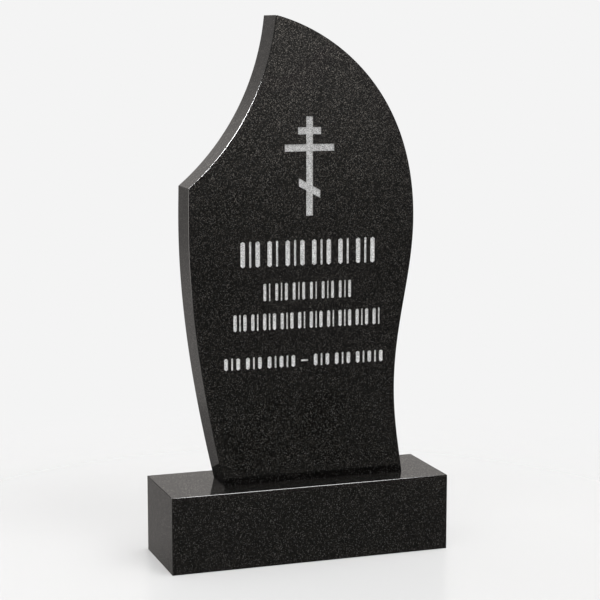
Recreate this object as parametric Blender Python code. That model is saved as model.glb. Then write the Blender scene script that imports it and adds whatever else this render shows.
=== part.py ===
"""A headstone of polished black granite: a flame-shaped stele that stands on a plinth.

The stele is one slab, sawn to a free outline. It has a pointed tip, a hollow left side that ends in
a shoulder, a full belly above a narrower waist on the right, and a straight foot. Its front carries a
sandblasted eight-pointed cross above rows of plain pointed strokes. The plinth is a plain block.
The origin is at the centre of the plinth's underside, +Z is up and the front faces -Y.
All sizes are in metres.
"""

import math

import bmesh
import bpy
from mathutils import Matrix, Vector
from mathutils.geometry import interpolate_bezier

# The slab of the stele.
STELE_HEIGHT = 0.957
STELE_WIDTH = 0.485
STELE_THICKNESS = 0.080

# The plinth: its height, and how far it reaches past the slab on each side.
PLINTH_HEIGHT = 0.160
FRONT_LEDGE = 0.060
BACK_LEDGE = 0.060
END_LEDGE = 0.0575

# The bed joint between the two stones.
BED_JOINT = 0.0003

# The small round that is polished along the edges.
ARRIS = 0.0015
ARRIS_STEPS = 2
SHARP_ANGLE = math.radians(30)

# How deep the cross and the strokes are sandblasted.
CARVING_DEPTH = 0.0012

# Points of the outline. Across is a share of the stele's width, counted from its middle,
# and up is a share of its height.
TIP = (-0.1210, 1.0)
SHOULDER = (-0.5, 0.6415)
BELLY = (0.5, 0.5660)
WAIST = (0.4160, 0.1935)
FOOT_LEFT = (-0.3545, 0.0)
FOOT_RIGHT = (0.4545, 0.0)

# Handles of the curves between those points, as steps across and up in the same shares.
TIP_HANDLE = (0.2820, -0.0355)
BELLY_HANDLE_UP = (0.0, 0.2656)
BELLY_HANDLE_DOWN = (0.0, -0.1280)
WAIST_HANDLE_UP = (0.0, 0.1430)
WAIST_HANDLE_DOWN = (0.0, -0.0758)
FOOT_RIGHT_HANDLE = (-0.0153, 0.0608)
FOOT_LEFT_HANDLE = (-0.1770, 0.3785)
SHOULDER_HANDLE = (0.0, -0.0660)

# The hollow side is an arc this deep, as a share of its chord.
HOLLOW_DEPTH = 0.0991

# Steps in each curve of the outline.
CURVE_STEPS = 24

# The cross on the stele: its middle across, its head and its height, in shares of the stele.
CROSS_MIDDLE = 0.0261
CROSS_HEAD = 0.7880
CROSS_HEIGHT = 0.2110

# Within the cross, in shares of its height: how thick a bar is, then for each crossbar how far its
# middle lies below the head, how long it is, and how far it falls to the right for its length.
BAR_THICKNESS = 0.0705
CROSSBARS = (
    (0.144, 0.245, 0.0),
    (0.314, 0.526, 0.0),
    (0.722, 0.229, 0.544),
)

# The rows, in shares of the stele: middle across, middle up, length and height,
# then how bold the strokes are.
ROWS = (
    (0.0210, 0.4980, 0.6000, 0.0560, 1.00),
    (0.0175, 0.4157, 0.3930, 0.0386, 0.95),
    (0.0172, 0.3522, 0.6570, 0.0367, 1.20),
    (0.0040, 0.2640, 0.7140, 0.0265, 1.05),
)

# How many strokes stand in each group of each row. No stroke means a level one.
STROKE_COUNTS = (
    (3, 2, 3, 3, 2, 3),
    (2, 3, 3, 2, 3, 3),
    (3, 2, 3, 3, 2, 3, 2, 3, 3, 2),
    (3, 3, 5, 0, 3, 3, 5),
)

# Within a row, in steps of its own: the widths of its strokes, by turns, and the gaps.
STROKE_WIDTHS = (2.0, 0.9)
LEVEL_LENGTH = 4.0
STROKE_GAP = 1.9
GROUP_GAP = 3.4

# An upright stroke runs out to a point at both ends, this long as a share of its width.
STROKE_POINT = 0.35


def clear_scene():
    for obj in list(bpy.data.objects):
        bpy.data.objects.remove(obj)


def stone(name, colour, roughness):
    """A Principled material for one finish of the granite."""
    material = bpy.data.materials.new(name)
    material.use_nodes = True
    shader = material.node_tree.nodes["Principled BSDF"]
    shader.inputs["Base Color"].default_value = (*colour, 1.0)
    shader.inputs["Roughness"].default_value = roughness
    shader.inputs["Metallic"].default_value = 0.0
    material.diffuse_color = (*colour, 1.0)
    return material


def plinth_length():
    return STELE_WIDTH + 2 * END_LEDGE


def plinth_depth():
    return FRONT_LEDGE + STELE_THICKNESS + BACK_LEDGE


def stele_front():
    """Where the stele's front face stands along Y."""
    return FRONT_LEDGE - plinth_depth() / 2


def stele_foot():
    """How high the stele's foot is above the ground."""
    return PLINTH_HEIGHT + BED_JOINT


def on_stele(across, up):
    """A point of the slab in the plane of its front, from shares of its width and height."""
    return Vector((across * STELE_WIDTH, up * STELE_HEIGHT))


def curve(start, start_handle, end_handle, end):
    """The points of one free curve of the outline, without its last point."""
    first = on_stele(*start)
    last = on_stele(*end)
    leave = first + on_stele(*start_handle)
    arrive = last + on_stele(*end_handle)
    return interpolate_bezier(first, leave, arrive, last, CURVE_STEPS + 1)[:-1]


def hollow():
    """The points of the arc from the shoulder up to the tip, without the tip."""
    low = on_stele(*SHOULDER)
    chord = on_stele(*TIP) - low
    depth = HOLLOW_DEPTH * chord.length
    radius = chord.length**2 / (8 * depth) + depth / 2
    into_stone = Vector((chord.y, -chord.x)).normalized()
    centre = low + chord / 2 + into_stone * (depth - radius)
    whole_turn = 2 * math.asin(chord.length / (2 * radius))
    turns = [whole_turn * step / CURVE_STEPS for step in range(CURVE_STEPS)]
    return [centre + Matrix.Rotation(turn, 2) @ (low - centre) for turn in turns]


def stele_outline():
    """The outline of the slab, clockwise from its tip."""
    points = curve(TIP, TIP_HANDLE, BELLY_HANDLE_UP, BELLY)
    points += curve(BELLY, BELLY_HANDLE_DOWN, WAIST_HANDLE_UP, WAIST)
    points += curve(WAIST, WAIST_HANDLE_DOWN, FOOT_RIGHT_HANDLE, FOOT_RIGHT)
    points.append(on_stele(*FOOT_RIGHT))
    points += curve(FOOT_LEFT, FOOT_LEFT_HANDLE, SHOULDER_HANDLE, SHOULDER)
    points += hollow()
    return points


def cross_side(side):
    """The outline of the cross on one side of its shaft, from its head down to its foot."""
    height = CROSS_HEIGHT * STELE_HEIGHT
    half_bar = BAR_THICKNESS * height / 2
    path = [(half_bar, 0.0)]
    for below_head, length, fall in CROSSBARS:
        middle = -below_head * height
        # A bar that falls is cut off upright, so its ends are taller than it is thick.
        half_end = half_bar * math.hypot(1.0, fall)
        for out, edge in (
            (half_bar, half_end),
            (length * height / 2, half_end),
            (length * height / 2, -half_end),
            (half_bar, -half_end),
        ):
            path.append((out, middle + edge - fall * side * out))
    path.append((half_bar, -height))
    return [(side * out, up) for out, up in path]


def cross_outline():
    """The eight-pointed cross as one closed outline."""
    head = on_stele(CROSS_MIDDLE, CROSS_HEAD)
    right_then_left = cross_side(1) + cross_side(-1)[::-1]
    return [head + Vector(point) for point in right_then_left]


def upright_stroke(left, foot, width, height):
    """One stroke that runs out to a point at its head and at its foot."""
    middle = left + width / 2
    right = left + width
    head = foot + height
    low = foot + STROKE_POINT * width
    high = head - STROKE_POINT * width
    return [(middle, foot), (left, low), (left, high), (middle, head), (right, high), (right, low)]


def level_stroke(left, middle, length, thickness):
    low = middle - thickness / 2
    high = middle + thickness / 2
    return [(left, low), (left, high), (left + length, high), (left + length, low)]


def group_widths(count, boldness):
    """The widths of a group's strokes, by turns thick and thin."""
    if count == 0:
        return [LEVEL_LENGTH]
    widths = [STROKE_WIDTHS[place % len(STROKE_WIDTHS)] for place in range(count)]
    return [boldness * width for width in widths]


def row_steps(boldness, counts):
    """How many of its own steps a row is long."""
    widths = [group_widths(count, boldness) for count in counts]
    inner_gaps = STROKE_GAP * sum(len(group) - 1 for group in widths)
    return sum(map(sum, widths)) + inner_gaps + GROUP_GAP * (len(counts) - 1)


def row_outlines(across, up, length, height, boldness, counts):
    """The outlines of a row's strokes, spread over its length."""
    middle = on_stele(across, up)
    size = on_stele(length, height)
    step = size.x / row_steps(boldness, counts)
    foot = middle.y - size.y / 2
    left = middle.x - size.x / 2
    outlines = []
    for count in counts:
        for width in group_widths(count, boldness):
            if count == 0:
                thickness = boldness * min(STROKE_WIDTHS) * step
                outlines.append(level_stroke(left, middle.y, width * step, thickness))
            else:
                outlines.append(upright_stroke(left, foot, width * step, size.y))
            left += (width + STROKE_GAP) * step
        left += (GROUP_GAP - STROKE_GAP) * step
    return outlines


def add_prism(bm, outline, front, back, foot):
    """Adds a closed prism that has this outline, from front to back along Y."""
    face = bm.faces.new([bm.verts.new((x, front, foot + up)) for x, up in outline])
    grown = bmesh.ops.extrude_face_region(bm, geom=[face])["geom"]
    far_verts = [item for item in grown if isinstance(item, bmesh.types.BMVert)]
    bmesh.ops.translate(bm, verts=far_verts, vec=(0.0, back - front, 0.0))
    bmesh.ops.recalc_face_normals(bm, faces=bm.faces)


def to_object(name, bm, material):
    mesh = bpy.data.meshes.new(name)
    bm.to_mesh(mesh)
    bm.free()
    mesh.materials.append(material)
    mesh.shade_smooth()
    mesh.set_sharp_from_angle(angle=SHARP_ANGLE)
    obj = bpy.data.objects.new(name, mesh)
    bpy.context.scene.collection.objects.link(obj)
    return obj


def mark_arrises(bm, foot):
    """Marks each sharp edge for the polished round, apart from the edges of the foot."""
    weight = bm.edges.layers.float.new("bevel_weight_edge")
    bm.normal_update()
    for edge in bm.edges:
        at_foot = all(abs(vert.co.z - foot) < BED_JOINT for vert in edge.verts)
        if edge.calc_face_angle() > SHARP_ANGLE and not at_foot:
            edge[weight] = 1.0


def round_arrises(obj):
    bevel = obj.modifiers.new("arris", "BEVEL")
    bevel.limit_method = "WEIGHT"
    bevel.width = ARRIS
    bevel.segments = ARRIS_STEPS


def make_carving(blasted):
    """The cross and the strokes as one cutter, which reaches out of the front face."""
    outlines = [cross_outline()]
    for row, counts in zip(ROWS, STROKE_COUNTS):
        outlines += row_outlines(*row, counts)
    bm = bmesh.new()
    for outline in outlines:
        near = stele_front() - CARVING_DEPTH
        far = stele_front() + CARVING_DEPTH
        add_prism(bm, outline, near, far, stele_foot())
    carving = to_object("carving", bm, blasted)
    carving.display_type = "WIRE"
    carving.hide_render = True
    return carving


def make_stele(polished, blasted):
    bm = bmesh.new()
    back = stele_front() + STELE_THICKNESS
    add_prism(bm, stele_outline(), stele_front(), back, stele_foot())
    mark_arrises(bm, stele_foot())
    stele = to_object("stele", bm, polished)
    round_arrises(stele)
    cut = stele.modifiers.new("carving", "BOOLEAN")
    cut.operation = "DIFFERENCE"
    cut.object = make_carving(blasted)
    cut.material_mode = "TRANSFER"


def make_plinth(polished):
    right = plinth_length() / 2
    back = plinth_depth() / 2
    block = [(-right, 0.0), (-right, PLINTH_HEIGHT), (right, PLINTH_HEIGHT), (right, 0.0)]
    bm = bmesh.new()
    add_prism(bm, block, -back, back, 0.0)
    mark_arrises(bm, 0.0)
    round_arrises(to_object("plinth", bm, polished))


def main():
    clear_scene()
    black = (0.014, 0.0135, 0.0125)
    frosted = (0.42, 0.42, 0.42)
    make_plinth(stone("plinth_granite", black, 0.1))
    make_stele(stone("stele_granite", black, 0.1), stone("blasted_granite", frosted, 0.85))


main()
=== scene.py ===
# %% [markdown]
# # A headstone of polished black granite
# The real object is two stones: a slab sawn to the outline of a flame, and a plain block under it.
# A shared frame already holds both as plain solids, at their real size and place.
# This script dresses them: it cuts a finer version of each stone, gives the polished and the
# sandblasted surfaces their materials, and sets up a small studio with a camera.

# %% Load the frame
import math

import bmesh
import bpy
from mathutils import Matrix, Vector
from mathutils.geometry import interpolate_bezier


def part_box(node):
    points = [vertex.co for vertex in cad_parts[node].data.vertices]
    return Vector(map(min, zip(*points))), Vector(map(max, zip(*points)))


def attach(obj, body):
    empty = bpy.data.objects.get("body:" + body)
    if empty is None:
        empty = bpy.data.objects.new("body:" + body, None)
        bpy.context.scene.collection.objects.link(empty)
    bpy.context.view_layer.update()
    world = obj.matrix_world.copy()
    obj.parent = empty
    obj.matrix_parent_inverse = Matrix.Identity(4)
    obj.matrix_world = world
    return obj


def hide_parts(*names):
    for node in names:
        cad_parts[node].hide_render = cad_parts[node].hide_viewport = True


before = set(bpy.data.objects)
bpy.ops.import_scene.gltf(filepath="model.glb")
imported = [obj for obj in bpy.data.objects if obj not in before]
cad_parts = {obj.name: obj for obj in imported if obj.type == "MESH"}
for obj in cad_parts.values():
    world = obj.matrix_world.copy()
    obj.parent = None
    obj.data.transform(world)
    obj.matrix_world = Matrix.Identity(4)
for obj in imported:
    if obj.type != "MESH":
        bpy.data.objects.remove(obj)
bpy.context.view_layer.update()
print("nodes in the frame:", ", ".join(sorted(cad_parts)))

# %% [markdown]
# ## Sizes
# Nothing here is measured again. The corners of each solid give the width, depth and height that
# the finer stones have to keep. The solid's own edges are slightly rounded, so its box says a little
# less than the sawn height: the full height of the slab is a value of its own, and so is its width.

# %% Read the sizes of the two stones
STELE_LOW, STELE_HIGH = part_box("stele")
PLINTH_LOW, PLINTH_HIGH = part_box("plinth")
STELE_HEIGHT = 0.957
STELE_WIDTH = 0.485
STELE_FOOT = STELE_LOW.z
STELE_FRONT = STELE_LOW.y
STELE_BACK = STELE_HIGH.y
print(f"slab {STELE_HIGH.z - STELE_LOW.z:.4f} m tall, plinth {PLINTH_HIGH.x - PLINTH_LOW.x:.3f} m long")

# %% [markdown]
# ## The camera
# A long lens a few metres away keeps the uprights nearly parallel. The camera stands to the left of
# the stone and a little above its middle, so that the left flanks and the top of the plinth show.
# In Blender a camera looks down its own -Z axis: turned 90 degrees about X it looks level, a little
# less than that tips it down, and the turn about Z swings it round.

# %% Place the camera
LENS_MM = 107.1
CAMERA_PLACE = Vector((-1.193, -3.465, 1.083))
TIPPED_DOWN = math.radians(8.536)
TURNED_RIGHT = math.radians(19.084)

camera_data = bpy.data.cameras.new("camera")
camera_data.lens = LENS_MM
camera = bpy.data.objects.new("camera", camera_data)
camera.location = CAMERA_PLACE
camera.rotation_euler = (math.radians(90) - TIPPED_DOWN, 0.0, -TURNED_RIGHT)
bpy.context.scene.collection.objects.link(camera)
bpy.context.scene.camera = camera
print(f"camera {CAMERA_PLACE.length:.2f} m from the middle of the plinth's underside")

# %% [markdown]
# ## The outline of the slab
# The flame is drawn as a mason's template would be: a few points joined by smooth curves. Three free
# curves run down the right side, from the tip over the belly and the waist to the foot. One more runs
# up the left flank to the shoulder, and a plain arc closes the hollow side. Each point is a share of
# the slab's width and height, so the outline follows the slab.

# %% Points and handles of the outline
TIP = (-0.1210, 1.0)
SHOULDER = (-0.5, 0.6415)
BELLY = (0.5, 0.5660)
WAIST = (0.4160, 0.1935)
FOOT_LEFT = (-0.3545, 0.0)
FOOT_RIGHT = (0.4545, 0.0)
HOLLOW_DEPTH = 0.0991
CURVE_STEPS = 72


def on_stele(across, up):
    """A point in the plane of the slab's front, from shares of its width and height."""
    return Vector((across * STELE_WIDTH, up * STELE_HEIGHT))


def curve(start, start_handle, end_handle, end):
    """The points of one free curve, without its last point."""
    first = on_stele(*start)
    last = on_stele(*end)
    leave = first + on_stele(*start_handle)
    arrive = last + on_stele(*end_handle)
    return interpolate_bezier(first, leave, arrive, last, CURVE_STEPS + 1)[:-1]


# %% Close the outline with the hollow arc
def hollow():
    """The arc from the shoulder up to the tip, without the tip."""
    low = on_stele(*SHOULDER)
    chord = on_stele(*TIP) - low
    depth = HOLLOW_DEPTH * chord.length
    radius = chord.length**2 / (8 * depth) + depth / 2
    into_stone = Vector((chord.y, -chord.x)).normalized()
    centre = low + chord / 2 + into_stone * (depth - radius)
    whole_turn = 2 * math.asin(chord.length / (2 * radius))
    turns = [whole_turn * step / CURVE_STEPS for step in range(CURVE_STEPS)]
    return [centre + Matrix.Rotation(turn, 2) @ (low - centre) for turn in turns]


outline = curve(TIP, (0.2820, -0.0355), (0.0, 0.2656), BELLY)
outline += curve(BELLY, (0.0, -0.1280), (0.0, 0.1430), WAIST)
outline += curve(WAIST, (0.0, -0.0758), (-0.0153, 0.0608), FOOT_RIGHT)
outline.append(on_stele(*FOOT_RIGHT))
outline += curve(FOOT_LEFT, (-0.1770, 0.3785), (0.0, -0.0660), SHOULDER)
outline += hollow()
print("points in the slab's outline:", len(outline))

# %% [markdown]
# ## The carving
# A cross and some rows of strokes are sandblasted into the front. The stone is masked with a stencil
# and the open shapes are blown out about a millimetre deep, so each shape is a flat-floored recess
# with clean walls. The cross is one shape: its outline runs down the right of the shaft, out and back
# at every bar, and up the left in the same way. The rows are plain pointed strokes in groups.

# %% The outline of the cross
CROSS_HEAD = on_stele(0.0261, 0.7880)
CROSS_HEIGHT = 0.2110 * STELE_HEIGHT
HALF_BAR = 0.0705 * CROSS_HEIGHT / 2
# For each bar: how far its middle lies below the head, its length, and its fall to the right.
CROSSBARS = ((0.144, 0.245, 0.0), (0.314, 0.526, 0.0), (0.722, 0.229, 0.544))


def cross_side(side):
    """One side of the cross, from its head to its foot."""
    path = [(HALF_BAR, 0.0)]
    for below_head, length, fall in CROSSBARS:
        half_end = HALF_BAR * math.hypot(1.0, fall)
        reach = length * CROSS_HEIGHT / 2
        corners = (HALF_BAR, half_end), (reach, half_end), (reach, -half_end), (HALF_BAR, -half_end)
        for out, edge in corners:
            path.append((out, edge - below_head * CROSS_HEIGHT - fall * side * out))
    path.append((HALF_BAR, -CROSS_HEIGHT))
    return [CROSS_HEAD + Vector((side * out, up)) for out, up in path]


carving = [cross_side(1) + cross_side(-1)[::-1]]
print("corners of the cross:", len(carving[0]))

# %% The rows of strokes
# For each row: middle across, middle up, length, height and boldness.
ROWS = (
    (0.0210, 0.4980, 0.6000, 0.0560, 1.00),
    (0.0175, 0.4157, 0.3930, 0.0386, 0.95),
    (0.0172, 0.3522, 0.6570, 0.0367, 1.20),
    (0.0040, 0.2640, 0.7140, 0.0265, 1.05),
)
# How many strokes stand in each group of each row.
STROKE_COUNTS = (
    (3, 2, 3, 3, 2, 3),
    (2, 3, 3, 2, 3, 3),
    (3, 2, 3, 3, 2, 3, 2, 3, 3, 2),
    (3, 3, 5, 0, 3, 3, 5),
)
STROKE_WIDTHS = (2.0, 0.9)
LEVEL_LENGTH = 4.0
STROKE_GAP = 1.9
GROUP_GAP = 3.4
STROKE_POINT = 0.35


def upright_stroke(left, foot, width, height):
    """A stroke that runs out to a point at its head and at its foot."""
    middle, right, head = left + width / 2, left + width, foot + height
    low = foot + STROKE_POINT * width
    high = head - STROKE_POINT * width
    return [(middle, foot), (left, low), (left, high), (middle, head), (right, high), (right, low)]


def level_stroke(left, middle, length, thickness):
    """A plain level stroke."""
    low, high, right = middle - thickness / 2, middle + thickness / 2, left + length
    return [(left, low), (left, high), (right, high), (right, low)]


# %% Spread the strokes over each row
def group_widths(count, boldness):
    """The widths of a group's strokes, by turns thick and thin. No strokes mean a level one."""
    if count == 0:
        return [LEVEL_LENGTH]
    return [boldness * STROKE_WIDTHS[place % len(STROKE_WIDTHS)] for place in range(count)]


def row_steps(boldness, counts):
    """How many of its own steps a row is long."""
    widths = [group_widths(count, boldness) for count in counts]
    inner_gaps = STROKE_GAP * sum(len(group) - 1 for group in widths)
    return sum(map(sum, widths)) + inner_gaps + GROUP_GAP * (len(counts) - 1)


def row_outlines(across, up, length, height, boldness, counts):
    """The outlines of a row's strokes."""
    middle = on_stele(across, up)
    size = on_stele(length, height)
    step = size.x / row_steps(boldness, counts)
    left = middle.x - size.x / 2
    strokes = []
    for count in counts:
        for width in group_widths(count, boldness):
            if count == 0:
                thickness = boldness * min(STROKE_WIDTHS) * step
                strokes.append(level_stroke(left, middle.y, width * step, thickness))
            else:
                strokes.append(upright_stroke(left, middle.y - size.y / 2, width * step, size.y))
            left += (width + STROKE_GAP) * step
        left += (GROUP_GAP - STROKE_GAP) * step
    return strokes


for row, counts in zip(ROWS, STROKE_COUNTS):
    carving += row_outlines(*row, counts)
print("shapes to blast:", len(carving))

# %% [markdown]
# ## Cutting the stones
# A slab is an outline pushed back by its thickness. A monument's edges are never left sharp: the
# polisher breaks each one with a small round, the arris, and that thin line is what catches the
# light. A Bevel modifier makes it along the edges that carry a weight. After it, a Weighted Normal
# modifier lets the large flat faces decide how the light falls, so that they look as flat as they are.

# %% Helpers for solid stones
ARRIS = 0.0015
ARRIS_STEPS = 4
SHARP_ANGLE = math.radians(30)


def add_prism(bm, shape, front, back, foot):
    """Adds a closed prism with this shape, from front to back, and returns its back face."""
    face = bm.faces.new([bm.verts.new((x, front, foot + up)) for x, up in shape])
    grown = bmesh.ops.extrude_face_region(bm, geom=[face])["geom"]
    far_verts = [item for item in grown if isinstance(item, bmesh.types.BMVert)]
    bmesh.ops.translate(bm, verts=far_verts, vec=(0.0, back - front, 0.0))
    bmesh.ops.recalc_face_normals(bm, faces=bm.faces)
    return next(item for item in grown if isinstance(item, bmesh.types.BMFace))


def to_object(name, bm):
    """Turns what was modelled into an object."""
    mesh = bpy.data.meshes.new(name)
    bm.to_mesh(mesh)
    bm.free()
    mesh.shade_smooth()
    piece = bpy.data.objects.new(name, mesh)
    bpy.context.scene.collection.objects.link(piece)
    return piece


def weigh_arrises(bm, foot):
    """Gives a bevel weight to each sharp edge that isn't part of the foot."""
    weight = bm.edges.layers.float.new("bevel_weight_edge")
    bm.normal_update()
    for edge in bm.edges:
        at_foot = all(abs(vert.co.z - foot) < ARRIS / 10 for vert in edge.verts)
        if edge.calc_face_angle() > SHARP_ANGLE and not at_foot:
            edge[weight] = 1.0


def apply_modifiers(piece):
    """Makes what the modifiers show the piece's own mesh."""
    shown = piece.evaluated_get(bpy.context.evaluated_depsgraph_get())
    mesh = bpy.data.meshes.new_from_object(shown)
    piece.modifiers.clear()
    piece.data = mesh


def finish_stone(piece, top, cutter=None):
    """Rounds the arrises, blasts the carving out, and keeps the flat faces flat."""
    bevel = piece.modifiers.new("arris", "BEVEL")
    bevel.limit_method = "WEIGHT"
    bevel.width = ARRIS
    bevel.segments = ARRIS_STEPS
    if cutter:
        cut = piece.modifiers.new("carving", "BOOLEAN")
        cut.object = cutter
        cut.material_mode = "TRANSFER"
    apply_modifiers(piece)
    piece.data.set_sharp_from_angle(angle=SHARP_ANGLE)
    normals = piece.modifiers.new("flat faces", "WEIGHTED_NORMAL")
    normals.keep_sharp = True
    apply_modifiers(piece)
    trim_to(piece, top)


def trim_to(piece, top):
    """Lets the stone end at the height of its plain solid, to the hair."""
    heights = [vert.co.z for vert in piece.data.vertices]
    foot = min(heights)
    share = (top - foot) / (max(heights) - foot)
    for vert in piece.data.vertices:
        vert.co.z = foot + (vert.co.z - foot) * share


# %% The carving as one cutter
CARVING_DEPTH = 0.0012
ROUNDED_FLOOR = 0.0003

bm = bmesh.new()
for shape in carving:
    floor_face = add_prism(
        bm, shape, STELE_FRONT - CARVING_DEPTH, STELE_FRONT + CARVING_DEPTH - ROUNDED_FLOOR, STELE_FOOT
    )
    bmesh.ops.inset_individual(bm, faces=[floor_face], thickness=ROUNDED_FLOOR, depth=ROUNDED_FLOOR)
cutter = to_object("carving_cutter", bm)
print("faces of the cutter:", len(cutter.data.polygons))

# %% [markdown]
# ## Shader maths
# A material is a graph of nodes. Written out node by node it is hard to read, so one small class
# stands for a socket: adding or multiplying such sockets adds the Math node that does it, and every
# other node comes from a single method that takes its type, its settings and its inputs.

# %% A socket that does maths
class Wire:
    """An output socket of a node tree. Wire(tree) alone is a place to start from."""

    def __init__(self, tree, socket=None):
        self.tree = tree
        self.socket = socket

    def node(self, kind, settings=None, inputs=None, output=0):
        """Adds a node of this kind, sets it up, links its inputs and returns one output."""
        made = self.tree.nodes.new(kind)
        for key, value in (settings or {}).items():
            if key == "stops":
                self.set_stops(made.color_ramp.elements, value)
            else:
                setattr(made, key, value)
        for key, value in (inputs or {}).items():
            if isinstance(value, Wire):
                self.tree.links.new(value.socket, made.inputs[key])
            else:
                made.inputs[key].default_value = value
        return Wire(self.tree, made.outputs[output] if made.outputs else None)

    @staticmethod
    def set_stops(elements, stops):
        """Gives a colour ramp these (place, grey) stops."""
        while len(elements) < len(stops):
            elements.new(1.0)
        for element, (place, grey) in zip(elements, stops):
            element.position = place
            element.color = (grey, grey, grey, 1.0)

    def maths(self, operation, first, second):
        return self.node("ShaderNodeMath", {"operation": operation}, {0: first, 1: second})

    def __add__(self, other):
        return self.maths("ADD", self, other)

    def __radd__(self, other):
        return self.maths("ADD", other, self)

    def __sub__(self, other):
        return self.maths("SUBTRACT", self, other)

    def __rsub__(self, other):
        return self.maths("SUBTRACT", other, self)

    def __mul__(self, other):
        return self.maths("MULTIPLY", self, other)

    def __rmul__(self, other):
        return self.maths("MULTIPLY", other, self)


def smooth(value, low, high, at_low=0.0, at_high=1.0):
    """Eases from one level to another while the value goes from low to high."""
    inputs = {"Value": value, "From Min": low, "From Max": high, "To Min": at_low, "To Max": at_high}
    return value.node("ShaderNodeMapRange", {"interpolation_type": "SMOOTHSTEP"}, inputs)


def new_material(name):
    """An empty material, with a Wire to start from."""
    material = bpy.data.materials.new(name)
    material.use_nodes = True
    material.node_tree.nodes.clear()
    return material, Wire(material.node_tree)


def stone_place(start, shift):
    """Where a point of the stone is, in metres, moved so that no two blocks share their grain."""
    place = start.node("ShaderNodeTexCoord", output="Object")
    return place.node("ShaderNodeVectorMath", {"operation": "ADD"}, {0: place, 1: shift})


# %% [markdown]
# ## Polished black granite
# The stone is a gabbro: nearly black crystals, about a millimetre across, with small grains of ore and
# of grey feldspar between them. Polished, it is a dark mirror. A Voronoi texture splits space into
# cells, and its colour output gives each cell one random value, which says what crystal it is. One
# ramp turns that value into a grey, and a second ramp says which crystals mirror like a metal. The
# lowest values are dark ore, which mirrors less than the black stone does, and the highest are bright
# ore, which mirrors more. Just below those lie specks of feldspar, which scatter light instead. Soft
# noise makes the grains paler in some places than in others.
#
# Two touches come from looking closely. A thin grey film of painted light lies over the plinth and
# lightens it, its top most of all. And on the narrow arrises the crystals fade out, so that the bright
# lines there stay whole.

# %% The granite's colour and polish
GRAIN_SIZE = 0.0012
CLOUD_SIZE = 0.022
WARM_GREY = (1.0, 0.965, 0.90, 1.0)
DULLEST_POLISH = 0.11
FINEST_POLISH = 0.07
STONE_IOR = 1.55
# Stops of two ramps over the cells' random values: how bright a crystal is and how metallic.
DARK_GREYS = (0.0, 0.014), (0.20, 0.028), (0.21, 0.0008), (0.78, 0.0011)
LIGHT_GREYS = (0.79, 0.011), (0.86, 0.047), (0.865, 0.10), (1.0, 0.40)
CRYSTAL_GREYS = DARK_GREYS + LIGHT_GREYS
CRYSTAL_SHINE = ((0.0, 1.0), (0.20, 1.0), (0.21, 0.0), (0.86, 0.0), (0.865, 1.0), (1.0, 1.0))


def noise(place, size, detail=2.0):
    """Soft noise with lumps of this size."""
    inputs = {"Vector": place, "Scale": 1 / size, "Detail": detail}
    return place.node("ShaderNodeTexNoise", inputs=inputs)


def crystals(place, size):
    """One random value for each crystal of this size."""
    cells = place.node(
        "ShaderNodeTexVoronoi", inputs={"Vector": place, "Scale": 1 / size}, output="Color"
    )
    return cells.node("ShaderNodeSeparateColor", inputs={"Color": cells})


def ramp(value, stops):
    """The level that the stops give for this value."""
    return value.node("ShaderNodeValToRGB", {"stops": stops}, {"Fac": value})


def grey_tint(level, tint):
    """A colour of this level and tint."""
    return level.node(
        "ShaderNodeMix",
        {"data_type": "RGBA", "blend_type": "MULTIPLY"},
        {"Factor": 1.0, "A": level, "B": tint},
        output="Result",
    )


def faces_along(start, axis):
    """How far a face points along this axis: one if it faces along it, nought if it stands across."""
    normal = start.node("ShaderNodeTexCoord", output="Normal")
    return normal.node("ShaderNodeSeparateXYZ", inputs={"Vector": normal}, output=axis)


def on_arris(start):
    """One on the rounded arrises of the front and the back, and nought on the flat faces."""
    forward = faces_along(start, "Y")
    turned = forward * forward
    return smooth(turned, 0.01, 0.06) * smooth(turned, 0.94, 0.99, 1.0, 0.0)


# %% The polished granite
# Painted light on the plinth: a faint grey over all its crystals, with more of it on faces that point
# up, so that its top looks more lit.
PLINTH_PAINTED_LIGHT = 0.0022
PAINTED_LIGHT_ON_TOP = 2.3


def granite(name, shift, painted_light):
    """Polished granite for one block. The painted light is a grey that lies over all its crystals,
    stronger on faces that point up.
    """
    material, start = new_material(name)
    place = stone_place(start, shift)
    clouds = smooth(noise(place, CLOUD_SIZE), 0.3, 0.7, 0.85, 1.15)
    kind = crystals(place, GRAIN_SIZE)
    # Painted light: a grey that lightens the block, most of all on its upward faces.
    painted_light_film = painted_light * smooth(faces_along(start, "Z"), 0.9, 0.98, 1.0, PAINTED_LIGHT_ON_TOP)
    level = ramp(kind, CRYSTAL_GREYS) * clouds + painted_light_film
    polish = smooth(noise(place, CLOUD_SIZE / 4), 0.2, 0.8, FINEST_POLISH, DULLEST_POLISH)
    flat = 1.0 - on_arris(start)
    start.node(
        "ShaderNodeOutputMaterial",
        inputs={
            "Surface": start.node(
                "ShaderNodeBsdfPrincipled",
                inputs={
                    "Base Color": grey_tint(level * flat, WARM_GREY),
                    "Metallic": ramp(kind, CRYSTAL_SHINE) * flat,
                    "Roughness": polish,
                    "IOR": STONE_IOR,
                },
            )
        },
    )
    return material


stele_granite = granite("stele_granite", (0.0, 0.0, 0.0), 0.0)
# Only the plinth's granite carries the painted light; the slab's has none.
plinth_granite = granite("plinth_granite", (3.1, 1.7, 2.3), PLINTH_PAINTED_LIGHT)
print("granite nodes:", len(stele_granite.node_tree.nodes))

# %% [markdown]
# ## Sandblasted granite
# Grit breaks the polished skin into countless tiny facets. They scatter light, so the same black
# stone looks pale grey there. The recess is rough, without any mirror, and its grain still shows
# faintly as darker and lighter points. The rows of strokes are blasted a little paler than the cross.

# %% The blasted floor of the carving
BLASTED_GREY = (1.0, 0.995, 0.985, 1.0)
FROST_GREYS = ((0.0, 0.150), (0.5, 0.32), (1.0, 0.540))
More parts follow.
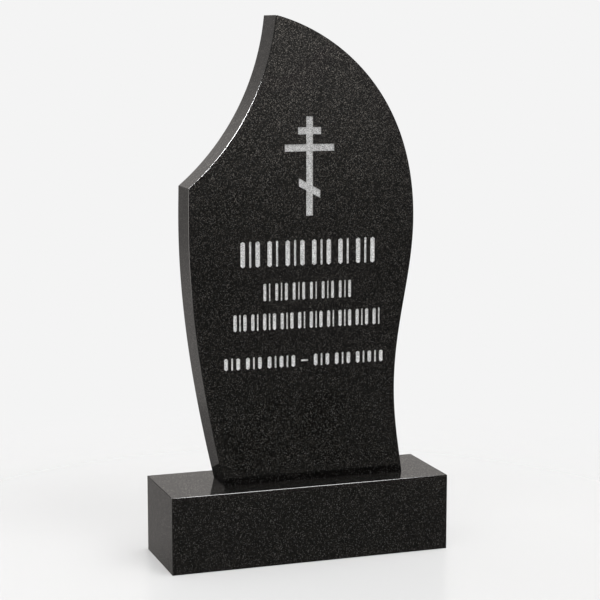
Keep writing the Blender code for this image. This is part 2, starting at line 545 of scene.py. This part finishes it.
# All rows lie below this height, and the cross lies above it.
ROWS_END = STELE_FOOT + 0.550 * STELE_HEIGHT
ROWS_PALER = 1.29
PIT_SIZE = 0.0009
PIT_DEPTH = 0.0003


def blasted(name, shift):
    """The frosted surface inside the carving."""
    material, start = new_material(name)
    place = stone_place(start, shift)
    frost = ramp(crystals(place, GRAIN_SIZE), FROST_GREYS)
    up = place.node("ShaderNodeSeparateXYZ", inputs={"Vector": place}, output="Z")
    level = frost * smooth(noise(place, 0.004), 0.3, 0.7, 0.92, 1.08)
    level = level * smooth(up, ROWS_END - 0.005, ROWS_END + 0.005, ROWS_PALER, 1.0)
    pits = place.node(
        "ShaderNodeBump",
        inputs={"Height": noise(place, PIT_SIZE), "Distance": PIT_DEPTH, "Strength": 0.5},
    )
    start.node(
        "ShaderNodeOutputMaterial",
        inputs={
            "Surface": start.node(
                "ShaderNodeBsdfPrincipled",
                inputs={
                    "Base Color": grey_tint(level, BLASTED_GREY),
                    "Roughness": 0.9,
                    "Specular IOR Level": 0.0,
                    "Normal": pits,
                },
            )
        },
    )
    return material


blasted_granite = blasted("blasted_granite", (0.0, 0.0, 0.0))
cutter.data.materials.append(blasted_granite)

# %% [markdown]
# ## The two stones
# Each finer stone takes the place of its plain solid and rides on the same body.

# %% Cut the slab
bm = bmesh.new()
add_prism(bm, outline, STELE_FRONT, STELE_BACK, STELE_FOOT)
weigh_arrises(bm, STELE_FOOT)
stele = to_object("stele_stone", bm)
stele.data.materials.append(stele_granite)
finish_stone(stele, STELE_HIGH.z, cutter)
bpy.data.objects.remove(cutter)
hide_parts("stele")
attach(stele, "root")
print("faces of the slab:", len(stele.data.polygons))

# %% Cut the plinth
bm = bmesh.new()
left, right = PLINTH_LOW.x, PLINTH_HIGH.x
top = PLINTH_HIGH.z
block = [(left, 0.0), (left, top), (right, top), (right, 0.0)]
add_prism(bm, block, PLINTH_LOW.y, PLINTH_HIGH.y, 0.0)
weigh_arrises(bm, 0.0)
plinth = to_object("plinth_stone", bm)
plinth.data.materials.append(plinth_granite)
finish_stone(plinth, PLINTH_HIGH.z)
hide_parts("plinth")
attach(plinth, "root")
print("faces of the plinth:", len(plinth.data.polygons))

# %% [markdown]
# ## The studio
# The stone stands on a pale table in even light. A photographer lights such a table from below, so
# that shadows stay faint, and its smooth top gives back a blurred hint of what stands on it. Towards
# the back it fades away, so that no edge shows.

# %% The table
TABLE_RADIUS = 1.5
FADE_FROM = 0.6
TABLE_GLOW = 0.500
MATTE_SHARE = 0.27
GLOSSY_SHARE = 0.16
TABLE_WHITE = (0.90, 0.90, 0.90, 1.0)
TABLE_ROUGHNESS = 0.22

bm = bmesh.new()
bmesh.ops.create_circle(bm, cap_ends=True, segments=96, radius=TABLE_RADIUS)
table = to_object("table", bm)
material, start = new_material("table")
place = start.node("ShaderNodeTexCoord", output="Object")
away = place.node("ShaderNodeVectorMath", {"operation": "LENGTH"}, {0: place}, output="Value")


def mixed(share, first, second):
    """Two shaders, with this share of the second."""
    return start.node("ShaderNodeMixShader", inputs={0: share, 1: first, 2: second})


glow = start.node("ShaderNodeEmission", inputs={"Strength": TABLE_GLOW})
matte = start.node("ShaderNodeBsdfDiffuse", inputs={"Color": TABLE_WHITE})
glossy = start.node("ShaderNodeBsdfGlossy", inputs={"Color": (1, 1, 1, 1), "Roughness": TABLE_ROUGHNESS})
clear = start.node("ShaderNodeBsdfTransparent")
top = mixed(GLOSSY_SHARE, mixed(MATTE_SHARE, glow, matte), glossy)
faded = mixed(smooth(away, FADE_FROM, TABLE_RADIUS), top, clear)
start.node("ShaderNodeOutputMaterial", inputs={"Surface": faded})
table.data.materials.append(material)
# The stone mirrors the panels of the room, not the table.
table.visible_glossy = False

# %% [markdown]
# A polished black stone shows mostly what it mirrors, so the room around it matters more than its own
# colour. The world gives three answers. To the camera it is a plain pale ground. To rough surfaces it
# is an even room with a small bright light overhead, which leaves the close shadow at the plinth's left
# end, and two soft ones from the front, which leave the wide faint shadows behind. To the mirror of the
# stone it is a dim room with pale panels: one in front, whose light fades downwards, and a wide one
# behind. Faint glows beside them light the sides that only show when one walks round the stone.
#
# Every answer is worked out from the direction in which a ray leaves the stone: how far it goes across,
# to the right, how far deep, to the back, and how far up. All three lie between minus one and one.

# %% The directions of the room
world = bpy.data.worlds.new("studio")
world.use_nodes = True
world.node_tree.nodes.clear()
bpy.context.scene.world = world
start = Wire(world.node_tree)
direction = start.node("ShaderNodeTexCoord", output="Generated")
apart = start.node("ShaderNodeSeparateXYZ", inputs={"Vector": direction})
across, deep, up = (Wire(world.node_tree, apart.socket.node.outputs[axis]) for axis in "XYZ")

# %% The light on rough surfaces
EVEN_ROOM = 0.9
# For each soft light: its direction across, deep and up, where it begins and is full, its strength.
SOFT_LIGHTS = (
    (0.12, -0.02, 0.99, 0.965, 0.995, 34.0),
    (0.37, -0.60, 0.707, 0.95, 0.99, 8.0),
    (-0.58, -0.40, 0.707, 0.95, 0.99, 4.0),
)

to_rough = EVEN_ROOM
for light_across, light_deep, light_up, begins, full, brightness in SOFT_LIGHTS:
    towards = light_across * across + light_deep * deep + light_up * up
    to_rough = to_rough + brightness * smooth(towards, begins, full)

# %% The panel in front
DIM = 0.04
FRONT_LOWER = 0.165
FRONT_UPPER = 0.51
LEFT_GLOW = 0.60
FAINT_GLOW = 0.15

upper = smooth(up, -0.145, 0.045) * smooth(up, 0.09, 0.17, 1.0, 0.0)
front = FRONT_LOWER + FRONT_UPPER * upper * smooth(across, 0.31, 0.39, 1.0, 0.80)
# It is darker over its top edge and close to the table.
front = front * smooth(up, 0.09, 0.17, 1.0, 0.3) * smooth(up, -0.258, -0.246, 0.75, 1.0)
front_sides = smooth(across, 0.08, 0.20) * smooth(across, 0.48, 0.60, 1.0, 0.0)
front = DIM + (front - DIM) * front_sides
# From behind and from the side, the flanks mirror two glows far to the left and to the right.
front = front + LEFT_GLOW * smooth(across, -0.35, -0.55) + FAINT_GLOW * smooth(across, 0.62, 0.72)

# %% The panel behind
BEHIND_LEFT = 0.235
BEHIND_RIGHT = 0.540
SIDE_STRIP = 8.0

# The left half lights the left flanks and, higher up, the hollow side. It is darkest at the table.
left_half = BEHIND_LEFT + 0.06 * smooth(up, -0.05, 0.08) + 0.32 * smooth(up, 0.15, 0.32)
left_half = left_half + 0.075 * smooth(up, -0.20, -0.10, 1.0, 0.0)
left_half = left_half - 0.09 * smooth(up, -0.295, -0.275, 1.0, 0.0)
# The right half lights the top of the plinth.
right_half = smooth(up, 0.08, 0.24, 0.03, BEHIND_RIGHT)
behind = left_half + (right_half - left_half) * smooth(across, -0.19, -0.07)
# A dark ceiling ends the panel. The flank's foot mirrors it by way of the plinth's top.
ceiling = smooth(up, 0.295, 0.325) * smooth(across, 0.04, 0.14, 1.0, 0.0)
behind = behind * (1.0 - ceiling)
# A bright strip far to the left draws the thin lines down the front left arrises.
side_strip = SIDE_STRIP * smooth(across, -0.62, -0.72) * smooth(up, 0.06, -0.02)
side_strip = side_strip * smooth(up, -0.26, -0.22)
behind = behind * smooth(across, -0.50, -0.40) + side_strip
# Seen from behind, the slab's back mirrors two faint glows: one low in the middle, one far to the right.
low_middle = smooth(across, -0.10, -0.04) * smooth(across, 0.12, 0.20, 1.0, 0.0)
low_middle = low_middle * smooth(up, 0.0, 0.06, 1.0, 0.0)
behind = behind + FAINT_GLOW * (low_middle + smooth(across, 0.58, 0.68))
mirrored = front + (behind - front) * smooth(deep, 0.15, 0.25)

# %% Put the three answers together
SEEN_BY_CAMERA = 0.905
PANEL_TINT = (1.0, 0.955, 0.925, 1.0)

paths = start.node("ShaderNodeLightPath")
to_camera = Wire(world.node_tree, paths.socket.node.outputs["Is Camera Ray"])
to_mirror = Wire(world.node_tree, paths.socket.node.outputs["Is Glossy Ray"])
unseen = to_rough + (mirrored - to_rough) * to_mirror
strength = unseen + (SEEN_BY_CAMERA - unseen) * to_camera
tint = start.node(
    "ShaderNodeMix",
    {"data_type": "RGBA"},
    {"Factor": to_mirror, "A": (1.0, 1.0, 1.0, 1.0), "B": PANEL_TINT},
    output="Result",
)
background = start.node("ShaderNodeBackground", inputs={"Color": tint, "Strength": strength})
start.node("ShaderNodeOutputWorld", inputs={"Surface": background})

# %% [markdown]
# Two softboxes give the arrises their bright lines: one high overhead, for the front edge of the
# plinth's top, and one behind on the left, for the hollow side of the slab. They only light what the
# stone mirrors, so they leave no hard shadow on the table.

# %% The softboxes
def softbox(name, place, size, radiance, target):
    """A bright rectangle that faces a target and shows only in mirrors."""
    data = bpy.data.lights.new(name, "AREA")
    data.shape = "RECTANGLE"
    data.size, data.size_y = size
    data.energy = radiance * 4 * size[0] * size[1]
    light = bpy.data.objects.new(name, data)
    light.location = place
    aim = Vector(target) - Vector(place)
    light.rotation_euler = aim.to_track_quat("-Z", "Y").to_euler()
    light.visible_camera = False
    light.visible_diffuse = False
    bpy.context.scene.collection.objects.link(light)


softbox("softbox_above", (2.65, -1.5, 8.0), (1.7, 5.0), 29.0, (2.65, -1.5, 0.0))
softbox("softbox_behind", (-2.01, 1.64, 2.6), (2.7, 0.7), 80.0, (0.09, 0.29, 0.95))

# %% [markdown]
# ## The last look
# The picture is shown with plain colours.

# %% Plain colours
bpy.context.scene.view_settings.view_transform = "Standard"
